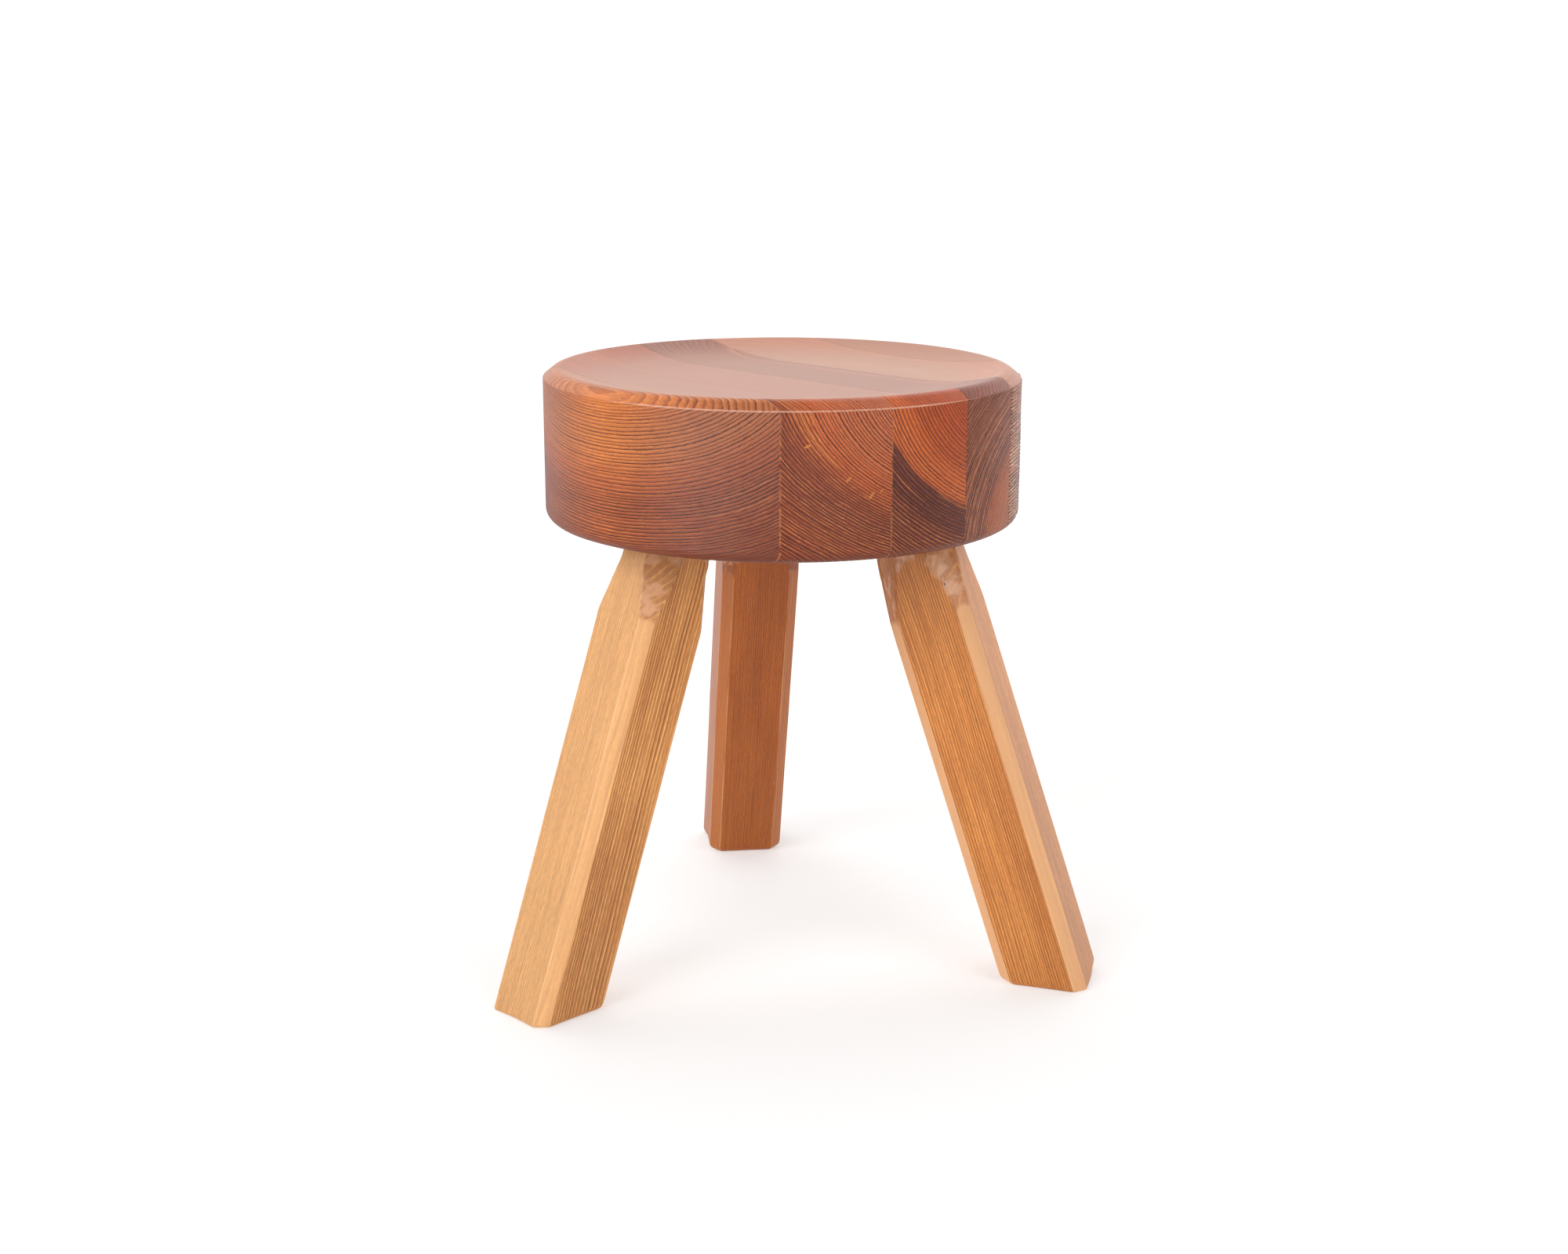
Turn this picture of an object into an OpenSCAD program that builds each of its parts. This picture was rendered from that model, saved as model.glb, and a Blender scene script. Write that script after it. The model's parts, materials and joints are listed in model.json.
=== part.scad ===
// Milking stool: a thick round seat, glued up from softwood boards and dished on top, on three
// splayed square legs. The top of each leg is shaved from square to round, bears on the seat's
// underside with a slanted shoulder, and is held by a round tenon glued into a blind socket.
// Millimetres, +Z up, one leg towards +Y. The origin is on the floor, under the middle of the
// stool's bounding box.

/* [Seat] */
// Diameter of the seat
seat_d = 300; // [290:1:320]
// Height of the rim's crest above the floor
seat_h = 384; // [350:1:410]
// Thickness of the seat, from its underside to the rim's crest
seat_t = 94.5; // [85:0.5:105]
// Distance of the crest from the seat's edge
rim_inset = 10; // [9:0.5:14]
// Drop from the crest to the sharp edge at the top of the side
rim_drop = 5.7; // [4:0.1:7]
// Radius of the rounded crest
crest_r = 8; // [6:0.5:9]
// Depth of the dish below the crest
dish_depth = 8.2; // [5:0.1:12]
// Diameter of the flat floor of the dish
dish_floor_d = 160; // [100:1:180]
// Radius along the seat's lower edge
lower_r = 7; // [2:0.5:12]

/* [Boards] */
// Direction of the grain, seen from above, measured from +X
grain_angle = -54; // [-90:1:90]
// Width of one whole board
board_w = 55.2; // [50:0.1:60]
// Distance of the first glue joint from the seat's axis, across the grain
first_joint = -107.3; // [-115:0.1:-100]
// Thickness of a glue line
glue_line = 0.1; // [0.05:0.05:0.3]

/* [Legs] */
// Side of the legs' square section
leg_w = 53; // [46:0.5:56]
// Width that a chamfered corner takes off each side
leg_chamfer = 7; // [3:0.5:10]
// Lean of the legs from the upright, in degrees
splay = 19; // [14:0.5:22]
// Diameter of the circle on which the legs' axes meet the floor
foot_circle_d = 371.5; // [350:0.5:390]
// Turn of the two front legs about their own axes, in degrees
front_twist = 4; // [-6:0.5:6]
// Turn of the back leg about its own axis, in degrees
back_twist = -1.5; // [-6:0.5:6]
// Diameter of the shaved neck where the leg's axis meets the seat
neck_d = 47; // [42:0.5:54]
// Slope of the shaved neck from the leg's axis, in degrees
neck_slope = 10; // [7:0.5:14]
// Bevel round the bottom of each foot
foot_bevel = 3; // [1:0.5:5]

/* [Tenons] */
// Diameter of a tenon
tenon_d = 38; // [30:0.5:42]
// Length of a tenon along the leg's axis, from the seat's underside
tenon_l = 58; // [40:1:66]
// Bevel at the tip of a tenon
tenon_bevel = 1.5; // [0.5:0.5:3]
// Gap that the glue fills round a tenon
socket_gap = 0.1; // [0.05:0.05:0.2]
// Room left beyond the tip of a tenon
socket_spare = 2; // [1:0.5:4]

/* [Hidden] */
BOARDS = [
    "seat_board_1",
    "seat_board_2",
    "seat_board_3",
    "seat_board_4",
    "seat_board_5",
    "seat_board_6"
];
LEGS = ["leg_front_left", "leg_front_right", "leg_back"];

board_colors = ["#b0642f", "#8a4526", "#a9562b", "#6a4433", "#a2673f", "#935531"];
leg_color = "#b8773c";
leg_azimuth = [210, -30, 90];
leg_twist = [front_twist, front_twist, back_twist];

seat_r = seat_d / 2;
under_z = seat_h - seat_t;
crest_x = seat_r - rim_inset;
floor_z = seat_h - dish_depth;

// The dish rises from its flat floor on an arc that runs smoothly into the rounded crest.
dish_run = crest_x - dish_floor_d / 2;
dish_r = (pow(dish_run, 2) + pow(dish_depth, 2)) / (2 * dish_depth) - crest_r;
dish_end = asin(dish_run / (dish_r + crest_r));

// The bevel outside the crest is the tangent from the sharp edge to the rounded crest.
edge_dx = rim_inset;
edge_dz = crest_r - rim_drop;
bevel_angle = atan2(edge_dx, edge_dz) - acos(crest_r / norm([edge_dx, edge_dz]));

leg_top_r = foot_circle_d / 2 - under_z * tan(splay);
half_w = leg_w / 2;
flat_w = half_w - leg_chamfer;
neck_below = 60;
neck_above = 20;
reach = 500;
overlap = 1;
steps = 10;
$fn = 96;

// Corners of the chamfered section, in the leg's own axes, after the leg's turn.
section = [
    [half_w, flat_w],
    [flat_w, half_w],
    [-flat_w, half_w],
    [-half_w, flat_w],
    [-half_w, -flat_w],
    [-flat_w, -half_w],
    [flat_w, -half_w],
    [half_w, -flat_w]
];
function turned(p, a) = [p.x * cos(a) - p.y * sin(a), p.x * sin(a) + p.y * cos(a)];
function foot_corner(i, p) =
    let (q = turned(p, leg_twist[i]))
    let (out = foot_circle_d / 2 - foot_bevel * tan(splay) + q.x / cos(splay))
    turned([out, q.y], leg_azimuth[i]);

// The widest points of the feet and the seat, seen from above, give the bounding box.
plan_points = concat(
    [[seat_r, seat_r], [-seat_r, -seat_r]],
    [for (i = [0 : len(LEGS) - 1]) for (p = section) foot_corner(i, p)]
);
plan_x = [for (p = plan_points) p.x];
plan_y = [for (p = plan_points) p.y];
axis_x = -(min(plan_x) + max(plan_x)) / 2;
axis_y = -(min(plan_y) + max(plan_y)) / 2;

function arc(cx, cz, r, from, to) =
    [for (k = [0 : steps]) let (a = from + (to - from) * k / steps) [cx + r * sin(a), cz + r * cos(a)]];

// Half of the seat's turned outline, from the middle of the underside round to the dish.
seat_outline = concat(
    [[0, under_z]],
    arc(seat_r - lower_r, under_z + lower_r, lower_r, 180, 90),
    [[seat_r, seat_h - rim_drop]],
    arc(crest_x, seat_h - crest_r, crest_r, bevel_angle, -dish_end),
    arc(dish_floor_d / 2, floor_z + dish_r, dish_r, 180 - dish_end, 180),
    [[0, floor_z]]
);

module at_seat_axis() {
    translate([axis_x, axis_y, 0]) children();
}

// Leg frame: origin on the seat's underside, +Z up along the leg, +X away from the seat's axis.
module at_leg(i) {
    at_seat_axis()
        rotate([0, 0, leg_azimuth[i]])
            translate([leg_top_r, 0, under_z])
                rotate([0, -splay, 0])
                    rotate([0, 0, leg_twist[i]])
                        children();
}

module socket(i) {
    at_leg(i)
        translate([0, 0, -neck_above])
            cylinder(h = neck_above + tenon_l + socket_spare, d = tenon_d + 2 * socket_gap);
}

module seat_blank() {
    at_seat_axis()
        rotate_extrude($fn = 180)
            polygon(seat_outline);
}

// Board i of the blank. The first and last boards run out past the seat's edge.
module board_slab(i) {
    last = len(BOARDS) - 1;
    from = i == 0 ? -seat_r - 1 : first_joint + (i - 1) * board_w + glue_line / 2;
    to = i == last ? seat_r + 1 : first_joint + i * board_w - glue_line / 2;
    at_seat_axis()
        rotate([0, 0, grain_angle])
            translate([-seat_r - 1, from, under_z - 1])
                cube([seat_d + 2, to - from, seat_t + 2]);
}

module seat_board(i) {
    color(board_colors[i])
        difference() {
            intersection() {
                seat_blank();
                board_slab(i);
            }
            for (k = [0 : len(LEGS) - 1]) socket(k);
        }
}

// The tenon starts inside the neck, so that the slanted shoulder leaves no gap.
module tenon() {
    rotate_extrude()
        polygon([
            [0, -neck_above],
            [tenon_d / 2, -neck_above],
            [tenon_d / 2, tenon_l - tenon_bevel],
            [tenon_d / 2 - tenon_bevel, tenon_l],
            [0, tenon_l]
        ]);
}

// The square length of the leg, shaved to a cone towards the seat.
module leg_shaft() {
    intersection() {
        translate([0, 0, -reach])
            linear_extrude(height = reach + neck_above)
                polygon(section);
        union() {
            translate([0, 0, -neck_below])
                cylinder(
                    h = neck_below + neck_above,
                    d1 = neck_d + 2 * neck_below * tan(neck_slope),
                    d2 = neck_d - 2 * neck_above * tan(neck_slope)
                );
            translate([0, 0, -reach])
                cylinder(h = reach - neck_below + overlap, d = 2 * leg_w);
        }
    }
}

// All the room under the seat: it levels the foot and slants the shoulder.
module under_seat() {
    translate([-reach, -reach, 0])
        cube([2 * reach, 2 * reach, under_z - glue_line / 2]);
}

// A trough that widens upwards from the foot. Its two walls bevel two edges of the sole.
module foot_trough(low, high, low_slope, high_slope) {
    rotate([90, 0, 0])
        linear_extrude(height = 2 * reach, center = true)
            polygon([
                [low + foot_bevel, 0],
                [high - foot_bevel, 0],
                [high - foot_bevel + reach * high_slope, reach],
                [low + foot_bevel - reach * low_slope, reach]
            ]);
}

module foot_room(i) {
    at_seat_axis()
        rotate([0, 0, leg_azimuth[i]])
            translate([foot_circle_d / 2, 0, 0])
                rotate([0, 0, leg_twist[i]])
                    intersection() {
                        foot_trough(
                            -half_w / cos(splay), half_w / cos(splay),
                            1 + tan(splay), 1 - tan(splay)
                        );
                        rotate([0, 0, 90]) foot_trough(-half_w, half_w, 1, 1);
                    }
}

module leg(i) {
    color(leg_color)
        union() {
            intersection() {
                at_leg(i) leg_shaft();
                under_seat();
                foot_room(i);
            }
            at_leg(i) tenon();
        }
}

for (i = [0 : len(BOARDS) - 1])
    seat_board(i);

for (i = [0 : len(LEGS) - 1])
    leg(i);
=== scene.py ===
"""A wooden milking stool: a thick, dished, round seat glued up from six softwood boards, on three legs.

Every piece is a dense mesh whose surface carries the wood's own coordinates, so that the raised growth
rings of the mesh and the colours and bump of its material are one pattern, on end grain and on long grain
alike. Lengths in this script are millimetres unless a name says otherwise, and meshes are scaled to metres
as they are made.
"""
import itertools
import json
import math

import bmesh
import bpy
import numpy as np
from mathutils import Matrix, Vector


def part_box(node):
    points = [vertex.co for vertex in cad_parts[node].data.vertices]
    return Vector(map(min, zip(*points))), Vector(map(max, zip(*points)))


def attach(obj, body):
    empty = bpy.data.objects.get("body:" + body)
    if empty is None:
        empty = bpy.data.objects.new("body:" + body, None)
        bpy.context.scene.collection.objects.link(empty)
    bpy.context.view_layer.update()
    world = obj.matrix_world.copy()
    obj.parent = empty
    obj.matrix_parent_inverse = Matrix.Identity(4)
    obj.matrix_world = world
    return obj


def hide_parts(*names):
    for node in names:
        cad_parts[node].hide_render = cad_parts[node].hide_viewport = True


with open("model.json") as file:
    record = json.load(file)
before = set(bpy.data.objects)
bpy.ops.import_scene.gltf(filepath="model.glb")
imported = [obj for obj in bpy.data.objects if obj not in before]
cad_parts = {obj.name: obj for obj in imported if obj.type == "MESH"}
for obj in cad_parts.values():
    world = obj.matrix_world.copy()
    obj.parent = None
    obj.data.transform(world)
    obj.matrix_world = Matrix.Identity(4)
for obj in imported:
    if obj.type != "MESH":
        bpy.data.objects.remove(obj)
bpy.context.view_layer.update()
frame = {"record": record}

MM = 0.001

# ---- the seat's place and size, from the frame

BOARD_NAMES = [f"seat_board_{number}" for number in range(1, 7)]
LEG_NAMES = ["leg_front_left", "leg_front_right", "leg_back"]

board_boxes = [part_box(name) for name in BOARD_NAMES]
seat_low = np.min([np.array(low) for low, high in board_boxes], axis=0) / MM
seat_high = np.max([np.array(high) for low, high in board_boxes], axis=0) / MM
mounts = {mount["name"]: np.array(mount["pos_m"]) / MM for mount in frame["record"]["mounts"]}

AXIS = (seat_low[:2] + seat_high[:2]) / 2
SEAT_R = (seat_high[0] - seat_low[0]) / 2
UNDER_Z = seat_low[2]
CREST_Z = seat_high[2]
DISH_Z = mounts["seat_top"][2]

# ---- design values shared with the CAD part

RIM_INSET = 10.0
RIM_DROP = 5.7
CREST_R = 8.0
DISH_FLOOR_R = 80.0
LOWER_R = 7.0
GRAIN = math.radians(-54)
BOARD_W = 55.2
FIRST_JOINT = -107.3
GLUE_LINE = 0.1

LEG_W = 53.0
LEG_CHAMFER = 7.0
LEG_HALF, LEG_FLAT = LEG_W / 2, LEG_W / 2 - LEG_CHAMFER
SPLAY = math.radians(19)
TWIST = {"leg_front_left": 4.0, "leg_front_right": 4.0, "leg_back": -1.5}
NECK_R = 23.5
NECK_SLOPE = math.radians(10)

GRAIN_DIR = np.array([math.cos(GRAIN), math.sin(GRAIN)])
ACROSS_DIR = np.array([-math.sin(GRAIN), math.cos(GRAIN)])


# ---- noise and growth rings

NOISE_TABLE = 4096
HASH = (73856093, 19349663, 83492791)

LAST_RING_R = 420
RING_UNEVEN = 0.28
LATE_START, LATE_RISE, LATE_FALL = 0.35, 0.4, 0.12

# How a log's rings stray from plain circles: the pith wanders, and the rings wave and flutter.
PITH_WANDER, WANDER_LENGTH = 2.5, 160
WAVE_LENGTH = 38
FLUTTER, FLUTTER_LENGTH = 0.3, 11
ALONG_SQUASH = 0.35
AROUND_SCALE = 100


def noise(points, seed):
    """Smooth noise between -1 and 1 at each row of points, with one feature per unit of length."""
    table = np.random.default_rng(seed).uniform(-1, 1, NOISE_TABLE)
    cell = np.floor(points).astype(np.int64)
    part = points - cell
    part = part * part * (3 - 2 * part)
    total = np.zeros(len(points))
    for corner in itertools.product((0, 1), repeat=3):
        at = cell + np.array(corner)
        key = (at[:, 0] * HASH[0]) ^ (at[:, 1] * HASH[1]) ^ (at[:, 2] * HASH[2])
        weight = np.prod(np.where(corner, part, 1 - part), axis=1)
        total += table[key & (NOISE_TABLE - 1)] * weight
    return total


def ring_edges(spacing, seed):
    """Radii of the growth rings' outer edges, from spacing given as (radius, ring width) pairs."""
    random = np.random.default_rng(seed)
    radius = 0.0
    edges = [radius]
    while radius < LAST_RING_R:
        width = np.interp(radius, *zip(*spacing))
        radius += width * random.uniform(1 - RING_UNEVEN, 1 + RING_UNEVEN)
        edges.append(radius)
    return np.array(edges)


def latewood(phase):
    """How far each point is into the dense latewood of its ring: a slow rise and a sharp fall."""
    part = phase - np.floor(phase)
    rise = np.clip((part - LATE_START) / LATE_RISE, 0, 1)
    fall = np.clip((1 - part) / LATE_FALL, 0, 1)
    return rise * rise * (3 - 2 * rise) * fall


def ring_field(across, up, along, wood, seed):
    """Wood coordinates of points (distance from the pith, way round it, way along) and the ring number."""
    pith_across, pith_up = wood["pith"]
    lean_across, lean_up = wood["lean"]
    wander = np.column_stack([along / WANDER_LENGTH, np.zeros_like(along), np.zeros_like(along)])
    off_across = across - (pith_across + lean_across * along + PITH_WANDER * noise(wander + 3.3, seed))
    off_up = up - (pith_up + lean_up * along + PITH_WANDER * noise(wander + 7.7, seed + 1))
    radius = np.hypot(off_across, off_up)
    around = np.arctan2(off_across, -off_up) * AROUND_SCALE
    solid = np.column_stack([across, up, along * ALONG_SQUASH])
    wave = wood["wave"] * noise(solid / WAVE_LENGTH, seed + 2)
    radius = radius + wave + FLUTTER * noise(solid / FLUTTER_LENGTH, seed + 3)
    edges = ring_edges(wood["spacing"], seed + 4)
    phase = np.interp(radius, edges, np.arange(len(edges)))
    return np.column_stack([radius, around, along]), phase


# ---- mesh helpers

def mesh_object(name, points, faces, smooth=True):
    mesh = bpy.data.meshes.new(name)
    mesh.from_pydata(points.tolist(), [], faces)
    mesh.polygons.foreach_set("use_smooth", [smooth] * len(mesh.polygons))
    mesh.update()
    thing = bpy.data.objects.new(name, mesh)
    bpy.context.scene.collection.objects.link(thing)
    return thing


def positions(mesh):
    flat = np.zeros(len(mesh.vertices) * 3, np.float32)
    mesh.vertices.foreach_get("co", flat)
    return flat.reshape(-1, 3).astype(float)


def set_positions(mesh, points):
    mesh.vertices.foreach_set("co", points.astype(np.float32).ravel())
    mesh.update()


def store(mesh, **fields):
    """Keeps fields of values on the mesh's points, for the material: one number each, or three."""
    for name, values in fields.items():
        kind, key = ("FLOAT", "value") if values.ndim == 1 else ("FLOAT_VECTOR", "vector")
        attribute = mesh.attributes.new(name, kind, "POINT")
        attribute.data.foreach_set(key, values.astype(np.float32).ravel())


# ---- the seat's turned outline

def arc(centre, radius, start, end, pitch):
    """Points (radius from the seat's axis, height) on an arc. Angles in degrees, 0 up and 90 outwards."""
    steps = max(2, round(abs(math.radians(end - start)) * radius / pitch))
    angles = np.radians(np.linspace(start, end, steps + 1))
    return np.column_stack([centre[0] + radius * np.sin(angles), centre[1] + radius * np.cos(angles)])


def line(start, end, pitch):
    steps = max(1, round(math.dist(start, end) / pitch))
    share = np.linspace(0, 1, steps + 1)[:, None]
    return np.array(start) * (1 - share) + np.array(end) * share


# How far apart the mesh's points are, along the outline and round the axis.
SIDE_PITCH, BEVEL_PITCH, ARRIS_PITCH, LOWER_PITCH = 0.46, 0.5, 0.2, 0.6
DISH_PITCH, FLOOR_PITCH, UNDER_PITCH = 0.9, 1.6, 3.0
FINE_COLUMNS, FEWEST_COLUMNS, COLUMN_FACTOR = 1536, 24, 0.055

ARRIS_R = 0.5

crest_x = SEAT_R - RIM_INSET
dish_run = crest_x - DISH_FLOOR_R
dish_depth = CREST_Z - DISH_Z
dish_r = (dish_run ** 2 + dish_depth ** 2) / (2 * dish_depth) - CREST_R
dish_end = math.degrees(math.asin(dish_run / (dish_r + CREST_R)))
arris_z = CREST_Z - RIM_DROP
edge_dx, edge_dz = RIM_INSET, CREST_R - RIM_DROP
bevel_angle = math.degrees(math.atan2(edge_dx, edge_dz) - math.acos(CREST_R / math.hypot(edge_dx, edge_dz)))

# The arris is rounded where the side and the bevel meet, with both as tangents.
turn = math.radians(90 - bevel_angle)
arris_cut = ARRIS_R * math.tan(turn / 2)
arris_centre = (SEAT_R - ARRIS_R, arris_z - arris_cut)

side_bottom = (SEAT_R, UNDER_Z + LOWER_R)
arris = arc(arris_centre, ARRIS_R, 90, bevel_angle, ARRIS_PITCH)
crest = arc((crest_x, CREST_Z - CREST_R), CREST_R, bevel_angle, -dish_end, BEVEL_PITCH)
outline_fine = np.vstack([
    arc((SEAT_R - LOWER_R, UNDER_Z + LOWER_R), LOWER_R, 180, 90, LOWER_PITCH),
    line(side_bottom, (SEAT_R, arris_z - arris_cut), SIDE_PITCH)[1:],
    arris[1:],
    line(arris[-1], crest[0], BEVEL_PITCH)[1:],
    crest[1:],
])
outline_dish = arc((DISH_FLOOR_R, DISH_Z + dish_r), dish_r, 180 - dish_end, 180, DISH_PITCH)[1:]
outline_floor = line((DISH_FLOOR_R, DISH_Z), (FLOOR_PITCH, DISH_Z), FLOOR_PITCH)[1:]
outline_under = line((UNDER_PITCH, UNDER_Z), (SEAT_R - LOWER_R, UNDER_Z), UNDER_PITCH)[:-1]
outline = np.vstack([outline_under, outline_fine, outline_dish, outline_floor])

# The outline's outward normal, found again for any point by its direction from a point inside the section.
MIDDLE = np.array([70.0, UNDER_Z + 45.0])
run = np.gradient(outline, axis=0)
outline_normal = np.column_stack([run[:, 1], -run[:, 0]])
outline_normal /= np.linalg.norm(outline_normal, axis=1)[:, None]
outline_key = np.unwrap(np.arctan2(outline[:, 1] - MIDDLE[1], outline[:, 0] - MIDDLE[0]))


def outline_normals(radius, height):
    key = np.arctan2(height - MIDDLE[1], radius - MIDDLE[0])
    normal = np.column_stack([np.interp(key, outline_key, outline_normal[:, k]) for k in (0, 1)])
    return normal / np.linalg.norm(normal, axis=1)[:, None]


def columns_at(radius, fine):
    """Number of columns on a row of the seat. It halves towards the middle, so that faces stay even."""
    if fine:
        return FINE_COLUMNS
    count = FINE_COLUMNS // 2
    while count > FEWEST_COLUMNS and radius / count < COLUMN_FACTOR:
        count //= 2
    return count


def turned_seat():
    """Points and faces of the whole seat in its own frame, as rows of points round the axis."""
    first_fine = len(outline_under)
    last_fine = first_fine + len(outline_fine) - 1
    counts = [columns_at(row[0], first_fine <= i <= last_fine) for i, row in enumerate(outline)]
    points, faces, starts = [np.array([[0.0, 0.0, UNDER_Z]])], [], []
    total = 1
    for (radius, height), count in zip(outline, counts):
        angle = np.arange(count) * 2 * math.pi / count
        row = [radius * np.cos(angle), radius * np.sin(angle), np.full(count, height)]
        points.append(np.column_stack(row))
        starts.append(total)
        total += count
    points.append(np.array([[0.0, 0.0, DISH_Z]]))
    first, last = starts[0], starts[-1]
    faces += [(0, first + (k + 1) % counts[0], first + k) for k in range(counts[0])]
    for i in range(len(counts) - 1):
        here, above, at, up = counts[i], counts[i + 1], starts[i], starts[i + 1]
        if here == above:
            faces += [(at + k, at + (k + 1) % here, up + (k + 1) % here, up + k) for k in range(here)]
            continue
        coarse, fine = (here, above) if here < above else (above, here)
        c_at, f_at = (at, up) if here < above else (up, at)
        ratio = fine // coarse
        for k in range(coarse):
            ring = [f_at + (k * ratio + j) % fine for j in range(ratio + 1)]
            corners = [c_at + (k + 1) % coarse, c_at + k]
            middle = ratio // 2
            fan = [(corners[1], ring[j + 1], ring[j]) for j in range(middle)]
            fan += [(corners[0], ring[j + 1], ring[j]) for j in range(middle, ratio)]
            fan.append((corners[1], corners[0], ring[middle]))
            faces += fan if here > above else [face[::-1] for face in fan]
    faces += [(last + k, last + (k + 1) % counts[-1], total) for k in range(counts[-1])]
    return np.vstack(points), faces


# ---- seat boards

# Each board's log: where its pith runs (across the grain from the seat's axis, height above the floor), how
# far the pith leans per unit of length, the width of the rings by radius, their waviness and the height of
# their ridges.
BOARD_WOOD = [
    dict(pith=(-176, 428), lean=(-0.05, 0.0), wave=0.7, ridge=0.5,
         spacing=[(0, 1.25), (54, 1.25), (60, 1.7), (85, 1.9), (110, 1.85), (135, 1.75)]),
    dict(pith=(-20, 402), lean=(0.02, 0.0), wave=0.7, ridge=0.4,
         spacing=[(0, 1.9), (60, 1.85), (88, 1.65), (150, 1.7)]),
    dict(pith=(34, 402), lean=(0.0, 0.02), wave=0.6, ridge=0.3,
         spacing=[(0, 1.8), (60, 2.0), (95, 2.1), (140, 1.8)]),
    dict(pith=(88, 282), lean=(0.01, 0.0), wave=0.8, ridge=0.3,
         spacing=[(0, 2.6), (66, 2.2), (110, 2.0)]),
    dict(pith=(70, 165), lean=(0.02, -0.02), wave=0.7, ridge=1.1,
         spacing=[(0, 2.1), (220, 2.1)]),
    dict(pith=(60, 330), lean=(0.03, 0.01), wave=1.0, ridge=0.2,
         spacing=[(0, 2.4), (60, 2.2), (140, 2.0)]),
]
BOARD_SEED, BOARD_SEED_STEP = 100, 10

# Brushing wears the soft earlywood back: how much on long grain, how much more on end grain, and how much of
# that is missing on the upper side and underneath.
BRUSHED, BRUSHED_END = 0.45, 0.55
UPPER_SMOOTH, UNDER_SMOOTH = 0.95, 0.6
RIDGE_MIDDLE = 0.4

# The edges beside a glue joint are eased, and a thin pale line of glue shows there, more at some joints.
JOINT_V, JOINT_REACH, GLUE_REACH = 0.12, 0.5, 0.35
JOINT_PALE = [0.6, 0.5, 0.08, 0.3, 0.4]

# The sharp edge is a little worn, and a pale line painted along it as a highlight is brightest at the front.
EDGE_WEAR, WEAR_REACH, WEAR_PLACE = 0.06, 1.0, 14
HIGHLIGHT_FRONT = (-0.11, -0.99)
FRONT_START, FRONT_FADE = 0.6, 0.4

# The turned surface isn't quite true.
HOLLOW, HOLLOW_SIZE = 0.12, (45, 45, 30)

# Where the surface faces up: the upward part of its normal from which it begins to count, and over how much.
TOP_START, TOP_FADE = 0.75, 0.25
UPPER_START, UPPER_FADE = 0.45, 0.3

DISH_MARGIN, DISH_FADE, DISH_POWER = 8, 36, 0.6
UNDER_CLEAR = 40


def cut_slab(points, faces, name, low, high):
    """The part of the turned seat between two planes across the grain, closed with flat cut faces."""
    across = points[:, :2] @ ACROSS_DIR
    keep, used = [], {}
    for face in faces:
        values = [across[i] for i in face]
        if max(values) > low and min(values) < high:
            keep.append(tuple(used.setdefault(i, len(used)) for i in face))
    thing = mesh_object(name, points[list(used)], keep)
    work = bmesh.new()
    work.from_mesh(thing.data)
    normal = Vector((ACROSS_DIR[0], ACROSS_DIR[1], 0))
    for level, outwards in ((low, -1), (high, 1)):
        if abs(level) > SEAT_R:
            continue
        bmesh.ops.bisect_plane(
            work, geom=work.verts[:] + work.edges[:] + work.faces[:], dist=1e-5,
            plane_co=normal * level, plane_no=normal * outwards, clear_outer=True,
        )
        border = [edge for edge in work.edges if edge.is_boundary]
        on_plane = [e for e in border if all(abs(v.co.dot(normal) - level) < 1e-3 for v in e.verts)]
        cap = bmesh.ops.edgeloop_fill(work, edges=on_plane)["faces"]
        for face in cap:
            face.smooth = False
            for edge in face.edges:
                edge.smooth = False
    bmesh.ops.recalc_face_normals(work, faces=work.faces[:])
    work.to_mesh(thing.data)
    work.free()
    return thing


def board_span(number):
    """The planes of the board's two joints, as distances across the grain from the seat's axis."""
    last = len(BOARD_NAMES) - 1
    low = -SEAT_R - 1 if number == 0 else FIRST_JOINT + (number - 1) * BOARD_W + GLUE_LINE / 2
    high = SEAT_R + 1 if number == last else FIRST_JOINT + number * BOARD_W - GLUE_LINE / 2
    return low, high


def brushed_ridges(number, grain, phase, end_grain, upper, under):
    """Height of the ridges that brushing leaves, higher in some patches than in others."""
    brushed = (BRUSHED + BRUSHED_END * end_grain) * (1 - UPPER_SMOOTH * upper) * (1 - UNDER_SMOOTH * under)
    patch = 0.8 + 0.3 * noise(grain / np.array([25, 30, 60]), 31 + number)
    return BOARD_WOOD[number]["ridge"] * brushed * patch * (latewood(phase) - RIDGE_MIDDLE)


def joint_marks(number, across, along, height, top):
    """Depth of the eased edges beside the board's joints, and how pale the glue shows there."""
    low, high = board_span(number)
    joint = np.minimum(across - low, high - across)
    eased = JOINT_V * np.clip(1 - joint / JOINT_REACH, 0, 1) ** 2 * (1 - 0.5 * top)
    low_pale = JOINT_PALE[number - 1] if number > 0 else 0.0
    high_pale = JOINT_PALE[number] if number < len(JOINT_PALE) else 0.0
    pale = np.where(across - low < high - across, low_pale, high_pale)
    dashes = 0.55 + 0.9 * noise(np.column_stack([height / 1.6, along / 6, height * 0]), 55)
    glue = pale * np.clip(1 - joint / GLUE_REACH, 0, 1) * np.clip(dashes, 0, 1) * (1 - 0.7 * top)
    return eased, glue


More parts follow.
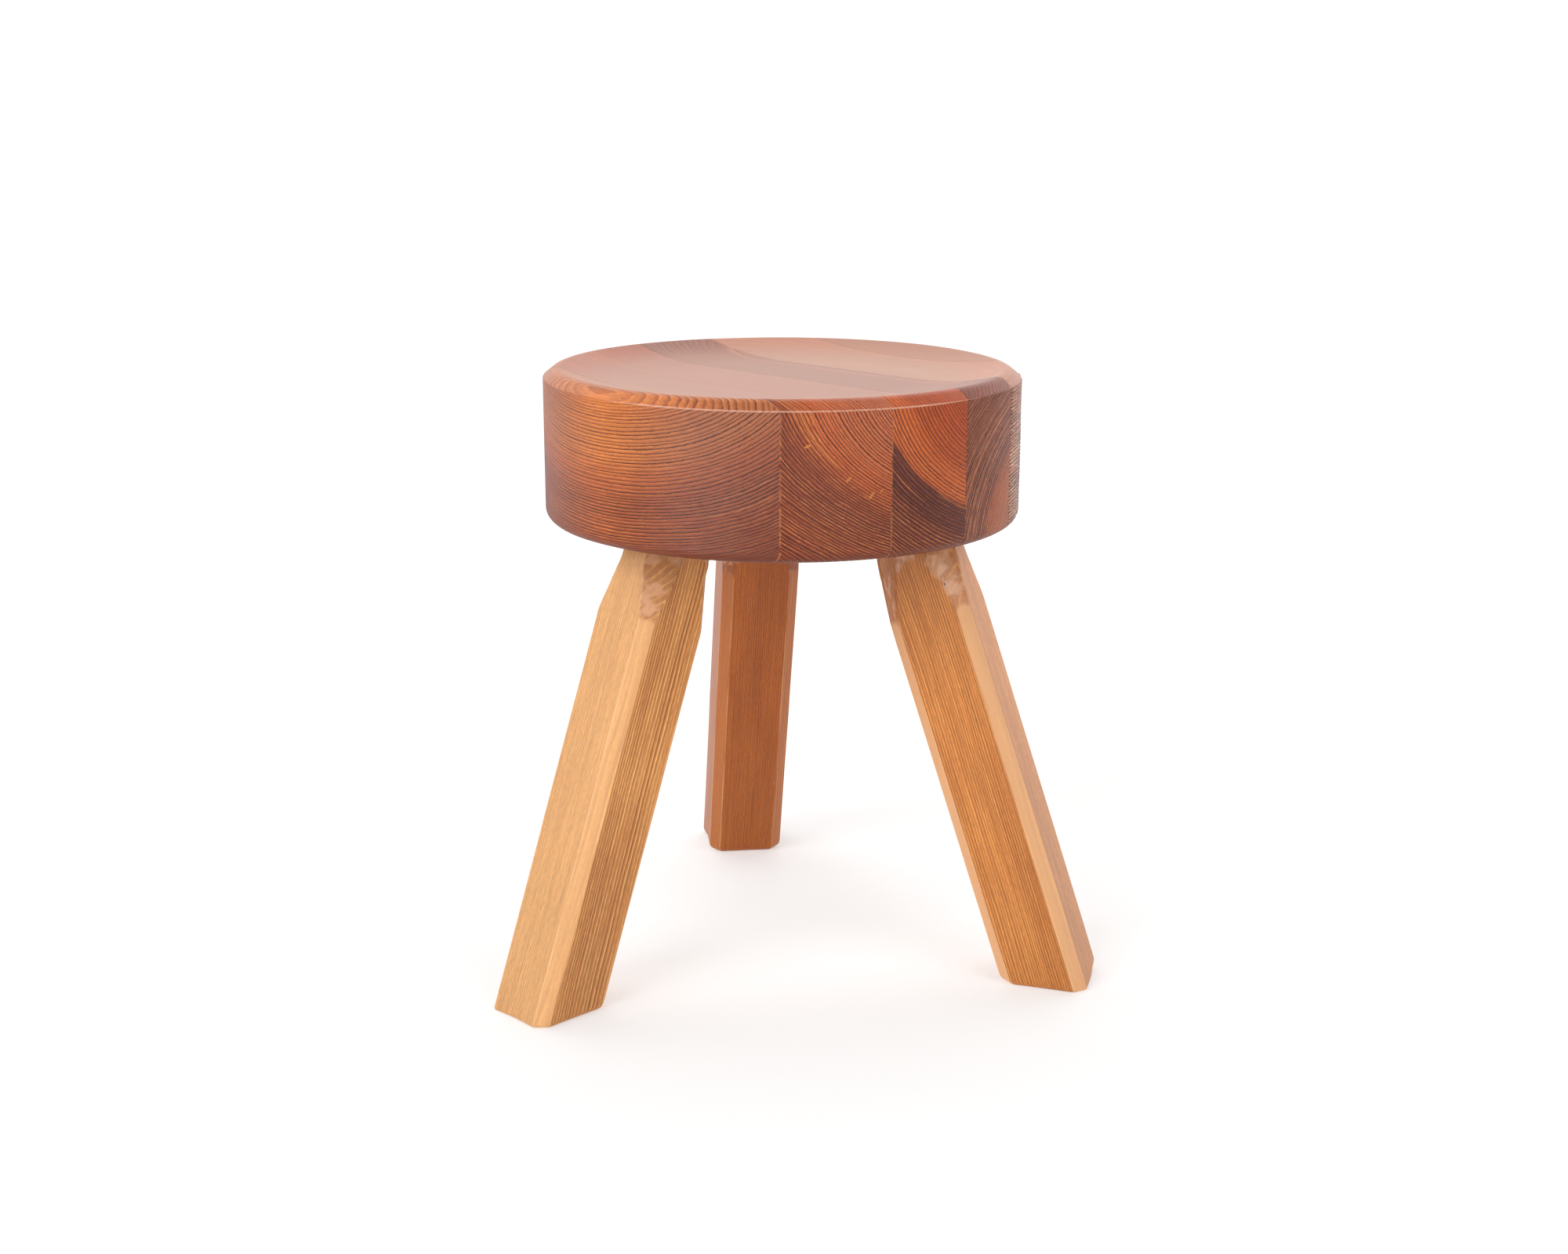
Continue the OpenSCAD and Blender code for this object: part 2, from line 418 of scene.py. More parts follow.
def edge_wear_and_highlight(at, radius, outward):
    """Distance from the sharp edge, counted longer away from the front where the painted highlight along it
    fades, and the depth worn off there.
    """
    arris = np.hypot(radius - SEAT_R, at[:, 2] - arris_z)
    wear_place = np.column_stack([at[:, 0] / WEAR_PLACE, at[:, 1] / WEAR_PLACE, at[:, 2] * 0])
    worn = EDGE_WEAR + EDGE_WEAR * noise(wear_place, 77)
    depth = worn * np.exp(-(arris / WEAR_REACH) ** 2)
    front = np.hypot(outward[:, 0] - HIGHLIGHT_FRONT[0], outward[:, 1] - HIGHLIGHT_FRONT[1])
    return arris + np.clip((front - FRONT_START) / FRONT_FADE, 0, 1), depth


def seat_board(number, points, faces, material):
    low, high = board_span(number)
    thing = cut_slab(points, faces, "visual_" + BOARD_NAMES[number], low, high)
    mesh = thing.data
    at = positions(mesh)
    radius = np.hypot(at[:, 0], at[:, 1])
    outward = at[:, :2] / np.maximum(radius, 1e-6)[:, None]
    flat_normal = outline_normals(radius, at[:, 2])
    normal = np.column_stack([outward * flat_normal[:, :1], flat_normal[:, 1]])
    across = at[:, :2] @ ACROSS_DIR
    along = at[:, :2] @ GRAIN_DIR
    seed = BOARD_SEED + BOARD_SEED_STEP * number
    grain, phase = ring_field(across, at[:, 2], along, BOARD_WOOD[number], seed)

    # How far each point faces along the grain, straight up, up at all, and down.
    end_grain = np.abs(normal[:, :2] @ GRAIN_DIR)
    top = np.clip((flat_normal[:, 1] - TOP_START) / TOP_FADE, 0, 1)
    upper = np.clip((flat_normal[:, 1] - UPPER_START) / UPPER_FADE, 0, 1)
    under = np.clip(-flat_normal[:, 1], 0, 1)

    # How far a point lies inside the dish, where the wood is smoother and paler.
    inside = np.clip((SEAT_R - DISH_MARGIN - radius) / DISH_FADE, 0, 1)
    dish = inside ** DISH_POWER * (flat_normal[:, 1] > 0.5)

    eased, glue = joint_marks(number, across, along, at[:, 2], top)
    edge, worn = edge_wear_and_highlight(at, radius, outward)
    lift = brushed_ridges(number, grain, phase, end_grain, upper, under) - eased - worn
    lift += HOLLOW * noise(at / np.array(HOLLOW_SIZE), 88)
    moved = at + normal * lift[:, None]
    moved[:, :2] += AXIS
    set_positions(mesh, moved * MM)

    store(mesh, wood=grain, ring=phase, glue=glue, edge=edge, end_grain=end_grain * (1 - top),
          dish=dish, top=top, upper=upper, under=under * (edge > UNDER_CLEAR))
    mesh.materials.append(material)
    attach(thing, "root")
    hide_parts(BOARD_NAMES[number])
    return thing


# ---- legs

# The section is drawn finely, its corners are softened by averaging, and its points are spaced evenly.
FINE_PITCH = 0.1
SOFT_REACH, SOFT_SPREAD = 12, 6.0
LEG_AROUND_PITCH = 0.5
LEG_ALONG_PITCH = 2.2
NECK_PITCH = 1.0
NECK_ROWS_LENGTH = 62
SOLE_ROWS = [0, 0.12, 0.35, 0.7, 1.2, 1.8, 2.5, 3.3, 4.4, 6.0, 8.0, 11.0, 15.0]
FIRST_PLAIN_ROW = 17
FOOT_SHADE_H = 160

# Each leg's log, as for the boards, and how its neck is cut: how flat the neck's sides are, and how softly
# they run out into the leg.
LEG_WOOD = {
    "leg_front_left": dict(pith=(-85, -140), lean=(0.004, 0.002), spacing=[(0, 1.2), (200, 1.2)],
                           wave=0.3, ridge=0.07, facets=0.9, blend=0.3),
    "leg_front_right": dict(pith=(-130, 95), lean=(-0.003, 0.004), spacing=[(0, 1.2), (200, 1.2)],
                            wave=0.3, ridge=0.06, facets=0.3, blend=1.6),
    "leg_back": dict(pith=(20, 95), lean=(0.002, -0.002), spacing=[(0, 1.5), (130, 1.3)],
                     wave=0.5, ridge=0.05, facets=0.5, blend=0.8),
}
LEG_SEED, LEG_SEED_STEP = 300, 20

# The neck's eight flats: the ones over the leg's corners are cut deeper than the ones over its faces.
FACETS = 8
CORNER_FLAT, FACE_FLAT = 1.045, 0.975
NECK_UNEVEN = 0.22
LEG_UNEVEN = 0.12

# Rounding of the sole's edge, and where round each foot it is more or less: (degrees, extra radius).
SOLE_ROUND = 3.2
SOLE_LOBES = {
    "leg_front_left": [(-45, -2.2), (135, 0.8)],
    "leg_front_right": [(45, 5.0), (-135, 1.2)],
    "leg_back": [(100, 6.0), (-100, 4.0)],
}

# The flat over the planed corner that faces forwards, in degrees round the leg, which takes a painted
# highlight.
FRONT_CORNER = {"leg_front_left": 45, "leg_front_right": -45, "leg_back": -45}
FLAT_HALF, FLAT_FADE = 30, 12

CORNER_FADE, OUTER_FADE = 0.9, 3
NECK_START, NECK_FADE = 0.1, 0.2
CLEAR_OF_EDGE = 5


def leg_section():
    """Outline of the chamfered square, its corners softened, as evenly spaced points."""
    half, flat = LEG_HALF, LEG_FLAT
    corners = [(half, flat), (flat, half), (-flat, half), (-half, flat),
               (-half, -flat), (-flat, -half), (flat, -half), (half, -flat)]
    fine = np.vstack([line(a, b, FINE_PITCH)[:-1] for a, b in zip(corners, corners[1:] + corners[:1])])
    reach = np.arange(-SOFT_REACH, SOFT_REACH + 1)
    weights = np.exp(-(reach / SOFT_SPREAD) ** 2)
    weights /= weights.sum()
    soft = sum(w * np.roll(fine, shift, axis=0) for w, shift in zip(weights, reach))
    length = np.linalg.norm(soft - np.roll(soft, 1, axis=0), axis=1)
    at = np.cumsum(length) - length[0]
    count = round(length.sum() / LEG_AROUND_PITCH)
    wanted = np.linspace(0, length.sum(), count, endpoint=False)
    closed = np.vstack([soft, soft[:1]])
    mark = np.append(at, length.sum())
    return np.column_stack([np.interp(wanted, mark, closed[:, k]) for k in (0, 1)])


def soft_min(a, b, blend):
    share = np.clip(0.5 + 0.5 * (b - a) / blend, 0, 1)
    return b * (1 - share) + a * share - blend * share * (1 - share)


def leg_heights():
    """Heights of the rows of a leg's mesh, closer together at the sole and along the neck."""
    top = UNDER_Z - GLUE_LINE / 2
    lower = np.arange(FIRST_PLAIN_ROW, top - NECK_ROWS_LENGTH, LEG_ALONG_PITCH)
    neck = np.arange(lower[-1] + NECK_PITCH, top - 0.2, NECK_PITCH)
    return np.concatenate([SOLE_ROWS, lower, neck, [top]])


def neck_flats(wood, heading):
    """How far the neck's flats stand out from a round cone, as a factor, by heading round the leg."""
    step = ((heading * FACETS / (2 * math.pi) + 0.5) % 1 - 0.5) * 2 * math.pi / FACETS
    over_corner = np.abs((heading / (math.pi / 2)) % 1 - 0.5) < 0.25
    return 1 + wood["facets"] * (1 / np.cos(step) - np.where(over_corner, CORNER_FLAT, FACE_FLAT))


def sole_rounding(name, heading):
    rounding = np.full(len(heading), SOLE_ROUND)
    for place, extra in SOLE_LOBES[name]:
        rounding += extra * np.clip(np.cos(heading - math.radians(place)), 0, 1) ** 6
    return rounding


def leg_surface(name, section, heights, seed):
    """Points of the leg's surface in its own frame, row by row, and how deep the neck cuts into each."""
    wood = LEG_WOOD[name]
    twist = math.radians(TWIST[name])
    shape_r = np.hypot(section[:, 0], section[:, 1])
    direction = section / shape_r[:, None]
    heading = np.arctan2(section[:, 1], section[:, 0])
    flats = neck_flats(wood, heading)
    rounding = sole_rounding(name, heading)
    points, cuts = [], []
    for height in heights:
        # The row is level, so the way along the leaning leg and the point depend on each other.
        point = section.copy()
        for _ in range(5):
            turned_x = point[:, 0] * math.cos(twist) - point[:, 1] * math.sin(twist)
            along = (height - UNDER_Z - turned_x * math.sin(SPLAY)) / math.cos(SPLAY)
            place = np.column_stack([heading * 4.0, along / 6, np.zeros(len(section))])
            uneven = NECK_UNEVEN * noise(place, seed) * np.cos(heading / 2) ** 2
            cone = NECK_R * flats - along * math.tan(NECK_SLOPE) + uneven
            radius = soft_min(shape_r, cone, wood["blend"])
            cut = shape_r - radius
            slow = np.column_stack([direction * 1.3, along / 45])
            radius = radius + LEG_UNEVEN * noise(slow, seed + 5) - LEG_UNEVEN
            rise = np.clip(height / rounding, 0, 1)
            radius = radius - rounding * (1 - np.sqrt(1 - (1 - rise) ** 2))
            point = direction * radius[:, None]
        points.append(np.column_stack([point, along]))
        cuts.append(cut)
    return np.vstack(points), np.concatenate(cuts)


def rotated(first, second, angle):
    """Two coordinates turned by an angle."""
    return (first * math.cos(angle) - second * math.sin(angle),
            first * math.sin(angle) + second * math.cos(angle))


def placed_leg(name, points):
    """The leg's points twisted, leaned outwards and moved to the leg's place."""
    foot_x, foot_y = (mounts["foot" + name[3:]][:2] - AXIS)
    top_r = math.hypot(foot_x, foot_y) - UNDER_Z * math.tan(SPLAY)
    x, y = rotated(points[:, 0], points[:, 1], math.radians(TWIST[name]))
    out, rise = rotated(x, points[:, 2], SPLAY)
    x, y = rotated(out + top_r, y, math.atan2(foot_y, foot_x))
    return np.column_stack([x + AXIS[0], y + AXIS[1], rise + UNDER_Z])


def leg(name, material):
    wood = LEG_WOOD[name]
    seed = LEG_SEED + LEG_SEED_STEP * LEG_NAMES.index(name)
    section = leg_section()
    heights = leg_heights()
    points, cuts = leg_surface(name, section, heights, seed)
    grain, phase = ring_field(points[:, 0], points[:, 1], points[:, 2], wood, seed)
    lift = wood["ridge"] * (latewood(phase) - 1)
    points[:, :2] *= (1 + lift / np.hypot(points[:, 0], points[:, 1]))[:, None]
    placed = placed_leg(name, points)

    count, rows = len(section), len(heights)
    faces = [tuple(range(count))[::-1], tuple(range((rows - 1) * count, rows * count))]
    for i in range(rows - 1):
        at, up = i * count, (i + 1) * count
        faces += [(at + k, at + (k + 1) % count, up + (k + 1) % count, up + k) for k in range(count)]
    thing = mesh_object("visual_" + name, placed * MM, faces)
    mesh = thing.data
    for end in (0, 1):
        mesh.polygons[end].use_smooth = False

    # Where a point lies round the section: on a planed corner, near one's edge, on the outer face or on the
    # flat that the neck cuts over the front corner.
    slant = np.abs(section[:, 0]) + np.abs(section[:, 1]) - LEG_HALF - LEG_FLAT
    chamfer = np.clip((slant + CORNER_FADE) / CORNER_FADE, 0, 1)
    big, small = np.abs(section).max(axis=1), np.abs(section).min(axis=1)
    edge = np.hypot(big - LEG_HALF, small - LEG_FLAT)
    outer = np.clip((section[:, 0] - LEG_FLAT) / OUTER_FADE, 0, 1)
    heading = np.degrees(np.arctan2(section[:, 1], section[:, 0]))
    facet = np.clip((FLAT_HALF - np.abs(heading - FRONT_CORNER[name])) / FLAT_FADE, 0, 1)
    neck = np.clip((cuts - NECK_START) / NECK_FADE, 0, 1)
    chamfer, edge, outer, facet = (np.tile(values, rows) for values in (chamfer, edge, outer, facet))
    foot = np.clip(1 - placed[:, 2] / FOOT_SHADE_H, 0, 1)
    store(mesh, wood=grain, ring=phase, neck=neck, facet=facet * neck, foot=foot,
          chamfer=chamfer * (1 - neck), edge=edge + CLEAR_OF_EDGE * neck, outer=outer * (1 - neck))
    mesh.materials.append(material)
    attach(thing, "root")
    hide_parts(name)
    return thing


# ---- materials

class Net:
    """A material's or world's net of shader nodes. Numbers, colours and sockets can all be inputs."""

    def __init__(self, owner):
        self.owner = owner
        owner.use_nodes = True
        self.tree = owner.node_tree
        self.tree.nodes.clear()

    def node(self, kind, inputs=None, **settings):
        made = self.tree.nodes.new("ShaderNode" + kind)
        for key, value in settings.items():
            setattr(made, key, value)
        for key, value in (inputs or {}).items():
            socket = made.inputs[key]
            if isinstance(value, bpy.types.NodeSocket):
                self.tree.links.new(value, socket)
            else:
                socket.default_value = value
        return made

    def attribute(self, name, output="Fac"):
        return self.node("Attribute", attribute_name=name).outputs[output]

    def math(self, operation, a, b=0.0):
        return self.node("Math", {0: a, 1: b}, operation=operation).outputs[0]

    def product(self, first, *others):
        for other in others:
            first = self.math("MULTIPLY", first, other)
        return first

    def total(self, first, *others):
        for other in others:
            first = self.math("ADD", first, other)
        return first

    def shifted(self, vector, by):
        return self.node("VectorMath", {0: vector, 1: (0.0, by, by)}, operation="ADD").outputs[0]

    def noise(self, vector, scales, detail=2.0, roughness=0.5):
        scaled = self.node("VectorMath", {0: vector, 1: scales}, operation="MULTIPLY")
        inputs = {"Vector": scaled.outputs[0], "Scale": 1.0, "Detail": detail, "Roughness": roughness}
        return self.node("TexNoise", inputs).outputs["Fac"]

    def span(self, value, low, high, to_low=0.0, to_high=1.0, smooth=False):
        inputs = {"Value": value, "From Min": low, "From Max": high, "To Min": to_low, "To Max": to_high}
        kind = "SMOOTHSTEP" if smooth else "LINEAR"
        return self.node("MapRange", inputs, interpolation_type=kind).outputs["Result"]

    def ramp(self, value, stops):
        made = self.node("ValToRGB", {"Fac": value})
        elements = made.color_ramp.elements
        elements.remove(elements[1])
        for i, (place, colour) in enumerate(stops):
            stop = elements[0] if i == 0 else elements.new(place)
            stop.position = place
            stop.color = (*colour, 1.0)
        return made.outputs["Color"]

    def mix(self, share, a, b, blend="MIX"):
        a, b = ((*colour, 1.0) if isinstance(colour, tuple) else colour for colour in (a, b))
        inputs = {"Factor": share, 6: a, 7: b}
        made = self.node("Mix", inputs, data_type="RGBA", blend_type=blend, clamp_factor=True)
        return made.outputs[2]


def linear(colour):
    """A linear colour from an sRGB one."""
    return tuple(((c + 0.055) / 1.055) ** 2.4 if c > 0.04045 else c / 12.92 for c in colour)


RAMP_LENGTH = 300.0


def zones(stops):
    """Stops by distance from the pith in mm, with sRGB colours, as a colour ramp's own stops."""
    return [(radius / RAMP_LENGTH, linear(colour)) for radius, colour in stops]


def greys(stops):
    """Stops of a ramp that carries a strength, not a colour."""
    return [(place, (value,) * 3) for place, value in stops]


# How each board's wood looks. By distance from the pith: the ground colour, the dark line at each ring's end
# and the strength of the painted highlight on the ridge beside it (glint, in the colour light). face: colour
# in the dish.
# threads: single pale rings, as (distance from the pith, strength, and the places round it between which it
# shows, in 1/100 rad); reach: how far they fade out. streaks: strength of streaks of resin. bump: its depth.
# on_top: how strong the rings are on the upper side. rim: how far the rim's upper side takes the face colour.
BOARD_LOOKS = [
    dict(
        ground=[(45, (.77, .45, .25)), (85, (.78, .45, .25)), (97, (.73, .38, .21)), (112, (.63, .30, .18)),
                (130, (.62, .28, .13)), (150, (.56, .22, .08))],
        line=[(45, (.70, .38, .19)), (55, (.66, .34, .15)), (60, (.46, .17, .06)), (74, (.31, .09, .03)),
              (85, (.27, .07, .03)), (120, (.21, .06, .03)), (150, (.22, .05, .02))],
        glint=[(45, .40), (100, .40), (112, .60), (160, .50)], light=(.86, .56, .30), face=(.70, .49, .39),
        threads=[(113.4, .6, 48, 90), (121.5, .4, 40, 90)],
        reach=0.42, streaks=0.3, bump=0.30, on_top=0.8, rim=0.0,
    ),
    dict(
        ground=[(40, (.79, .42, .28)), (70, (.79, .40, .23)), (80, (.75, .34, .17)),
                (88, (.64, .29, .15)), (93, (.55, .24, .14)), (102, (.52, .22, .13)),
                (122, (.57, .23, .10)), (140, (.54, .19, .07))],
        line=[(40, (.25, .06, .02)), (80, (.24, .06, .03)), (92, (.21, .06, .03)), (140, (.22, .05, .01))],
        glint=[(40, .50), (78, .55), (88, .60), (96, .50), (104, .90), (125, .95), (140, .45)],
        light=(.82, .51, .26), face=(.70, .49, .40),
        threads=[(80.4, .7, -150, -112), (82.6, .9, -150, -100), (84.6, 1.0, -150, -90),
                 (86.9, .8, -150, -104)],
        reach=0.42, streaks=0.5, bump=0.32, on_top=0.8, rim=0.0,
    ),
    dict(
        ground=[(36, (.72, .31, .13)), (52, (.73, .30, .10)), (72, (.74, .30, .08)), (80, (.79, .36, .13)),
                (92, (.78, .37, .17)), (94.6, (.73, .34, .16)), (95.6, (.41, .17, .13)),
                (110, (.38, .15, .10)), (116, (.46, .20, .13)), (140, (.49, .22, .13))],
        line=[(36, (.26, .06, .02)), (58, (.40, .12, .03)), (72, (.40, .12, .03)), (93, (.29, .08, .03)),
              (96, (.20, .07, .05)), (140, (.24, .08, .04))],
        glint=[(36, .40), (56, .15), (74, .55), (92, .75), (96, .20), (110, .30), (116, .75), (140, .70)],
        light=(.82, .49, .24), face=(.70, .49, .40),
        threads=[(95.3, .7, -54, -30), (104.0, .7, -93, -71)],
        reach=0.42, streaks=0.3, bump=0.32, on_top=0.8, rim=0.0,
    ),
    dict(
        ground=[(0, (.76, .48, .38)), (46, (.76, .46, .34)), (58, (.73, .41, .28)), (64, (.68, .37, .24)),
                (68, (.55, .29, .22)), (86, (.53, .27, .19)), (96, (.55, .27, .18)), (130, (.51, .23, .13))],
        line=[(0, (.49, .26, .18)), (60, (.42, .18, .09)), (68, (.17, .06, .04)), (110, (.18, .06, .03))],
        glint=[(0, .15), (66, .45), (90, .60), (110, .60)], light=(.78, .52, .38), face=(.66, .45, .36),
        threads=[(71.0, .5, -314, 60), (76.6, .7, -314, 60), (79.5, .9, -314, 60), (84.0, .6, -314, 60),
                 (92.4, .9, -314, 60), (95.5, .6, -314, 60), (101.0, .6, -314, 60)],
        reach=0.8, streaks=0.3, bump=0.36, on_top=0.5, rim=0.0,
    ),
    dict(
        ground=[(100, (.80, .54, .44)), (150, (.76, .48, .37)), (160, (.73, .41, .29)),
                (175, (.84, .56, .45)), (190, (.78, .47, .36)), (220, (.78, .45, .32))],
        line=[(100, (.13, .04, .02)), (195, (.13, .04, .02)), (220, (.24, .08, .04))],
        glint=[(100, .85), (220, .7)], light=(.94, .78, .68), face=(.72, .52, .42),
        threads=[], reach=0.42, streaks=0.2, bump=0.60, on_top=0.10, rim=0.6,
    ),
    dict(
        ground=[(20, (.72, .42, .28)), (70, (.70, .39, .26)), (120, (.63, .34, .21)), (170, (.57, .29, .18))],
        line=[(20, (.37, .16, .09)), (170, (.30, .12, .07))],
        glint=[(20, .3), (170, .3)], light=(.84, .58, .36), face=(.72, .52, .42),
        threads=[], reach=0.42, streaks=0.3, bump=0.26, on_top=0.4, rim=0.7,
    ),
]

# Short patches of resin that cross the rings of the second board: (distance from the pith, way round it in
# 1/100 rad, half length across the rings, half width along them).
RESIN_BOARD = 1
RESIN_PATCHES = [
    (88.9, -107.6, 1.9, 1.0),
    (85.6, -76.0, 2.2, 0.9),
    (85.8, -57.4, 2.6, 0.9),
    (81.0, -53.0, 1.3, 0.8),
]


def finish_surface(net, colour, roughness, height, bump):
    """A satin finish over the given colour, with the height as bump."""
    normal = net.node("Bump", {"Height": height, "Distance": bump * MM, "Strength": 1.0})
    shader = net.node("BsdfPrincipled", {
        "Base Color": colour, "Roughness": roughness, "Normal": normal.outputs["Normal"], "IOR": 1.4,
    })
    net.node("OutputMaterial", {"Surface": shader.outputs["BSDF"]})


def near_one(net, value, target, reach):
    """1 where the value is at the target, falling to 0 at the given reach on either side."""
    off = net.math("ABSOLUTE", net.math("SUBTRACT", value, target))
    return net.span(off, 0.45 * reach, reach, 1.0, 0.0, True)


def ellipse_reach(net, first, first_half, second, second_half):
    """Distance from an ellipse's centre, 1 at its edge. Each pair is (value, centre) and the half width."""
    across = net.math("DIVIDE", net.math("SUBTRACT", *first), first_half)
    along = net.math("DIVIDE", net.math("SUBTRACT", *second), second_half)
    return net.math("SQRT", net.total(net.product(across, across), net.product(along, along)))


def year_rings(net, unevenness, late_stops, highlight_stops):
    """Each ring's dark latewood, the pale thread just after it that is painted as the highlight on its ridge,
    and a number of the year's own.
    """
    ring = net.total(net.attribute("ring"), unevenness)
    part = net.math("FRACT", ring)
    year = net.node("TexWhiteNoise", {"W": net.math("FLOOR", ring)}, noise_dimensions="1D")
    late = net.ramp(part, greys(late_stops))
    ridge_highlight = net.ramp(part, greys(highlight_stops))
    return late, ridge_highlight, year.outputs["Value"]


# ---- the seat's wood

# Through a ring, from one year's end to the next: the dark latewood, and the pale thread that follows it, a
# painted highlight on the ridge.
SEAT_LATE = [(0.0, 0.0), (0.42, 0.04), (0.64, 0.55), (0.80, 1.0), (0.93, 1.0), (0.99, 0.0)]
SEAT_RIDGE_HIGHLIGHT = [(0.0, 0.9), (0.05, 1.0), (0.18, 0.7), (0.28, 0.0), (0.95, 0.0), (1.0, 0.9)]

# Noise scales across the rings, round the pith and along the grain.
UNEVEN_SCALE = (0.7, 0.3, 0.06)
STAIN_SCALE = (0.035, 0.012, 0.006)
FINE_STAIN_SCALE = (0.2, 0.1, 0.02)
SPARK_SCALE = (0.9, 0.12, 0.05)
STREAK_SCALE = (1.1, 0.07, 0.016)
FIBRE_SCALE = (2.2, 0.22, 0.03)
SPECK_SCALE = (2.6, 2.0, 0.2)
BROAD_SCALE = (0.02, 0.02, 0.01)

BOARD_SHIFT = 37.0
STAIN_DRIFT = 4.0
FINE_STAIN_DRIFT = 1.2
UNEVENNESS = 0.3
MM_PER_UNEVENNESS = 1.6
WEAKEST_YEAR = 0.55
DISH_PALENESS = 0.92
DISH_FAINTNESS = 0.22
FAR_RIM_START, FAR_RIM_END, FAR_RIM_PALENESS = -60, -125, 0.5

RESIN = (.80, .48, .22)
RESIN_PATCH = (.82, .50, .22)
UNDERSIDE = (.40, .16, .06)
GLUE = (.86, .58, .38)
ARRIS_HIGHLIGHT = (.90, .68, .58)
WHITE = (1.0, 1.0, 1.0)

# The first board took the stain lightly where its side runs with the grain: by end grain, and the tints.
LIGHTLY_STAINED = [(0.0, 1.0), (0.12, 0.8), (0.28, 0.35), (0.45, 0.0)]
DEEP_TINT = (0.78, 0.76, 0.95)
LIGHT_TINT = (1.24, 1.16, 0.74)

SMOOTHEST, ROUGHEST, UPPER_ROUGHNESS = 0.32, 0.56, 0.45


def stained_zones(net, look, place, radius):
    """Ground colour, dark line and strength of the painted ridge highlight by distance from the pith,
    drifting with the stains.
    """
    stain = net.noise(place, STAIN_SCALE, 3.0, 0.55)
    fine_stain = net.noise(place, FINE_STAIN_SCALE, 3.0, 0.6)
    broad_drift = net.span(stain, 0, 1, -STAIN_DRIFT, STAIN_DRIFT)
    fine_drift = net.span(fine_stain, 0, 1, -FINE_STAIN_DRIFT, FINE_STAIN_DRIFT)
    drift = net.total(broad_drift, fine_drift)
    level = net.math("DIVIDE", net.total(radius, drift), RAMP_LENGTH)
    glint_stops = [(distance / RAMP_LENGTH, strength) for distance, strength in look["glint"]]
    ground = net.ramp(level, zones(look["ground"]))
    dark = net.ramp(level, zones(look["line"]))
    glint = net.ramp(level, greys(glint_stops))
    return ground, dark, glint


def pale_rings(net, look, colour, depth, around, spark):
    """Adds a board's single pale rings to its colour."""
    for distance, strength, start, end in look["threads"]:
        opening = net.span(around, start - 8, start + 4, 0, strength, True)
        closing = net.span(around, end - 4, end + 8, 1, 0, True)
        window = net.product(opening, closing, net.span(spark, 0.3, 0.6, 0.15, 1.0))
        shown = net.product(near_one(net, depth, distance, look["reach"]), window)
        colour = net.mix(shown, colour, linear(look["light"]))
    return colour


def resin_patches(net, colour, depth, around, spark):
    """Adds short patches of resin across the rings."""
    for distance, way, long_half, wide_half in RESIN_PATCHES:
        reach = ellipse_reach(net, (depth, distance), long_half, (around, way), wide_half)
        ragged = net.total(reach, net.span(spark, 0, 1, -0.5, 0.5))
        colour = net.mix(net.span(ragged, 0.6, 1.2, 0.8, 0, True), colour, linear(RESIN_PATCH))
    return colour


